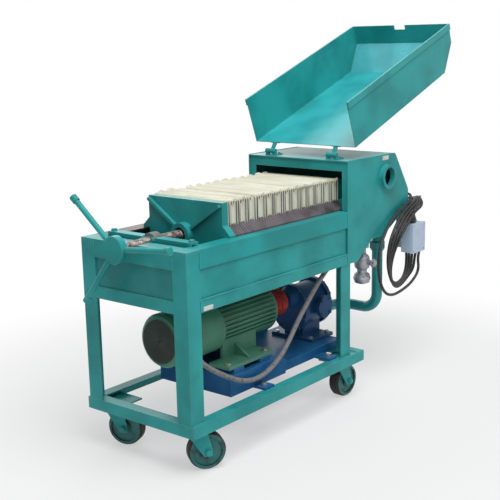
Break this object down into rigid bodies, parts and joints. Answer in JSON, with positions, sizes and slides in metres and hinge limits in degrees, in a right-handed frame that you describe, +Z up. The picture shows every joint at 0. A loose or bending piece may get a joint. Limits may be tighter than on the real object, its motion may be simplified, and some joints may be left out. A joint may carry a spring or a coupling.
{
  "type": "plate filter press",
  "caption": "Wheeled plate and frame filter press: clamped filter plates over an oil trough, screw handwheel, hinged tray lid, and a motor and gear pump below.",
  "frame": {"origin": "floor level under the middle of the machine, its cord and cable left out", "axes": "+X along the machine from the handwheel to the head, +Z up"},
  "size_m": [1.812, 0.543, 1.4821],
  "materials": {
    "teal_paint": "semi-gloss machine enamel",
    "screw_steel": "oiled bare thread",
    "nut_iron": "bare casting",
    "plate_iron": "dark oily casting",
    "filter_paper": "absorbent paper, oil stained edges",
    "motor_green": "satin enamel",
    "coupling_red": "gloss enamel",
    "pump_blue": "gloss enamel",
    "base_blue": "semi-gloss enamel",
    "valve_grey": "satin casting",
    "box_grey": "moulded housing",
    "black_plastic": "moulded",
    "cable_black": "rubber sheath",
    "conduit_grey": "ribbed flexible sleeve",
    "zinc_steel": "zinc plate",
    "tyre_black": "solid rubber"
  },
  "bodies": {
    "machine": {"base_side_rails": "teal_paint", "base_end_rails": "teal_paint", "caster_mounts": "teal_paint", "legs": "teal_paint", "trough_side_top_rails": "teal_paint", "trough_front_top_rail": "teal_paint", "trough_side_panels": "teal_paint", "trough_front_panel": "teal_paint", "trough_side_low_rails": "teal_paint", "trough_end_low_rails": "teal_paint", "trough_floor": "teal_paint", "nut_crossbar": "teal_paint", "screw_nut": "nut_iron", "head_side_panels": "teal_paint", "head_top_panel": "teal_paint", "head_slope_panel": "teal_paint", "head_rear_panel": "teal_paint", "head_belly_panel": "teal_paint", "head_front_frame": "teal_paint", "oil_port": "teal_paint", "hinge_brackets": "teal_paint", "fixed_plate": "teal_paint", "filter_plates": "plate_iron", "filter_frames": "plate_iron", "filter_papers": "filter_paper", "drive_base": "base_blue", "motor_housing": "motor_green", "motor_fins": "motor_green", "motor_fan_cowl": "motor_green", "motor_terminal_box": "motor_green", "pump_body": "pump_blue", "delivery_pipe": "teal_paint", "relief_valve": "valve_grey", "switch_bracket": "zinc_steel", "cable_hook": "zinc_steel", "switch_box": "box_grey", "box_gland": "black_plastic", "cable_lead": "cable_black", "cable_coil": "cable_black", "cable_plug": "black_plastic", "conduit_fittings": "zinc_steel", "conduit": "conduit_grey"},
    "lid": {"lid_top_panel": "teal_paint", "lid_slope_panel": "teal_paint", "lid_side_walls": "teal_paint", "lid_end_wall": "teal_paint", "lid_hinge_straps": "teal_paint"},
    "press_plate": {"press_plate": "teal_paint"},
    "screw": {"press_screw": "screw_steel", "handwheel_hub": "teal_paint", "handwheel_spokes": "teal_paint"},
    "drive_line": {"drive_coupling": "coupling_red"},
    "fork_front_near": {"caster_fork_front_near": "teal_paint"},
    "wheel_front_near": {"caster_wheel_front_near": "tyre_black"},
    "fork_front_far": {"caster_fork_front_far": "teal_paint"},
    "wheel_front_far": {"caster_wheel_front_far": "tyre_black"},
    "fork_rear_near": {"caster_fork_rear_near": "teal_paint"},
    "wheel_rear_near": {"caster_wheel_rear_near": "tyre_black"},
    "fork_rear_far": {"caster_fork_rear_far": "teal_paint"},
    "wheel_rear_far": {"caster_wheel_rear_far": "tyre_black"}
  },
  "joints": [
    {"name": "lid_hinge", "type": "hinge", "parent": "machine", "child": "lid", "pos_m": [0.12396, 0.0165, 0.983], "axis": [0, 1, 0], "range_deg": [-159.7, 0]},
    {"name": "press_slide", "type": "slide", "parent": "machine", "child": "press_plate", "axis": [1, 0, 0], "range_m": [-0.1, 0]},
    {"name": "handwheel_turn", "type": "hinge", "parent": "press_plate", "child": "screw", "pos_m": [-0.82204, 0.0165, 0.765], "axis": [1, 0, 0], "range_deg": [-4500, 0]},
    {"name": "drive_spin", "type": "hinge", "parent": "machine", "child": "drive_line", "pos_m": [-0.08204, 0.0165, 0.408], "axis": [1, 0, 0], "continuous": true},
    {"name": "swivel_front_near", "type": "hinge", "parent": "machine", "child": "fork_front_near", "pos_m": [-0.73604, -0.1735, 0.158], "axis": [0, 0, 1], "continuous": true},
    {"name": "roll_front_near", "type": "hinge", "parent": "fork_front_near", "child": "wheel_front_near", "pos_m": [-0.71283, -0.18916, 0.066], "axis": [0.5592, 0.829, 0], "continuous": true},
    {"name": "swivel_front_far", "type": "hinge", "parent": "machine", "child": "fork_front_far", "pos_m": [-0.73604, 0.2065, 0.158], "axis": [0, 0, 1], "continuous": true},
    {"name": "roll_front_far", "type": "hinge", "parent": "fork_front_far", "child": "wheel_front_far", "pos_m": [-0.72646, 0.18019, 0.066], "axis": [0.9397, 0.342, 0], "continuous": true},
    {"name": "swivel_rear_near", "type": "hinge", "parent": "machine", "child": "fork_rear_near", "pos_m": [0.11396, -0.1735, 0.158], "axis": [0, 0, 1], "continuous": true},
    {"name": "roll_rear_near", "type": "hinge", "parent": "fork_rear_near", "child": "wheel_rear_near", "pos_m": [0.14194, -0.17448, 0.066], "axis": [0.0349, 0.9994, 0], "continuous": true},
    {"name": "swivel_rear_far", "type": "hinge", "parent": "machine", "child": "fork_rear_far", "pos_m": [0.11396, 0.2065, 0.158], "axis": [0, 0, 1], "continuous": true},
    {"name": "roll_rear_far", "type": "hinge", "parent": "fork_rear_far", "child": "wheel_rear_far", "pos_m": [0.14027, 0.19692, 0.066], "axis": [0.342, 0.9397, 0], "continuous": true}
  ],
  "couplings": [
    {"joint": "press_slide", "follows": "handwheel_turn", "m_per_rad": 0.0012732}
  ]
}
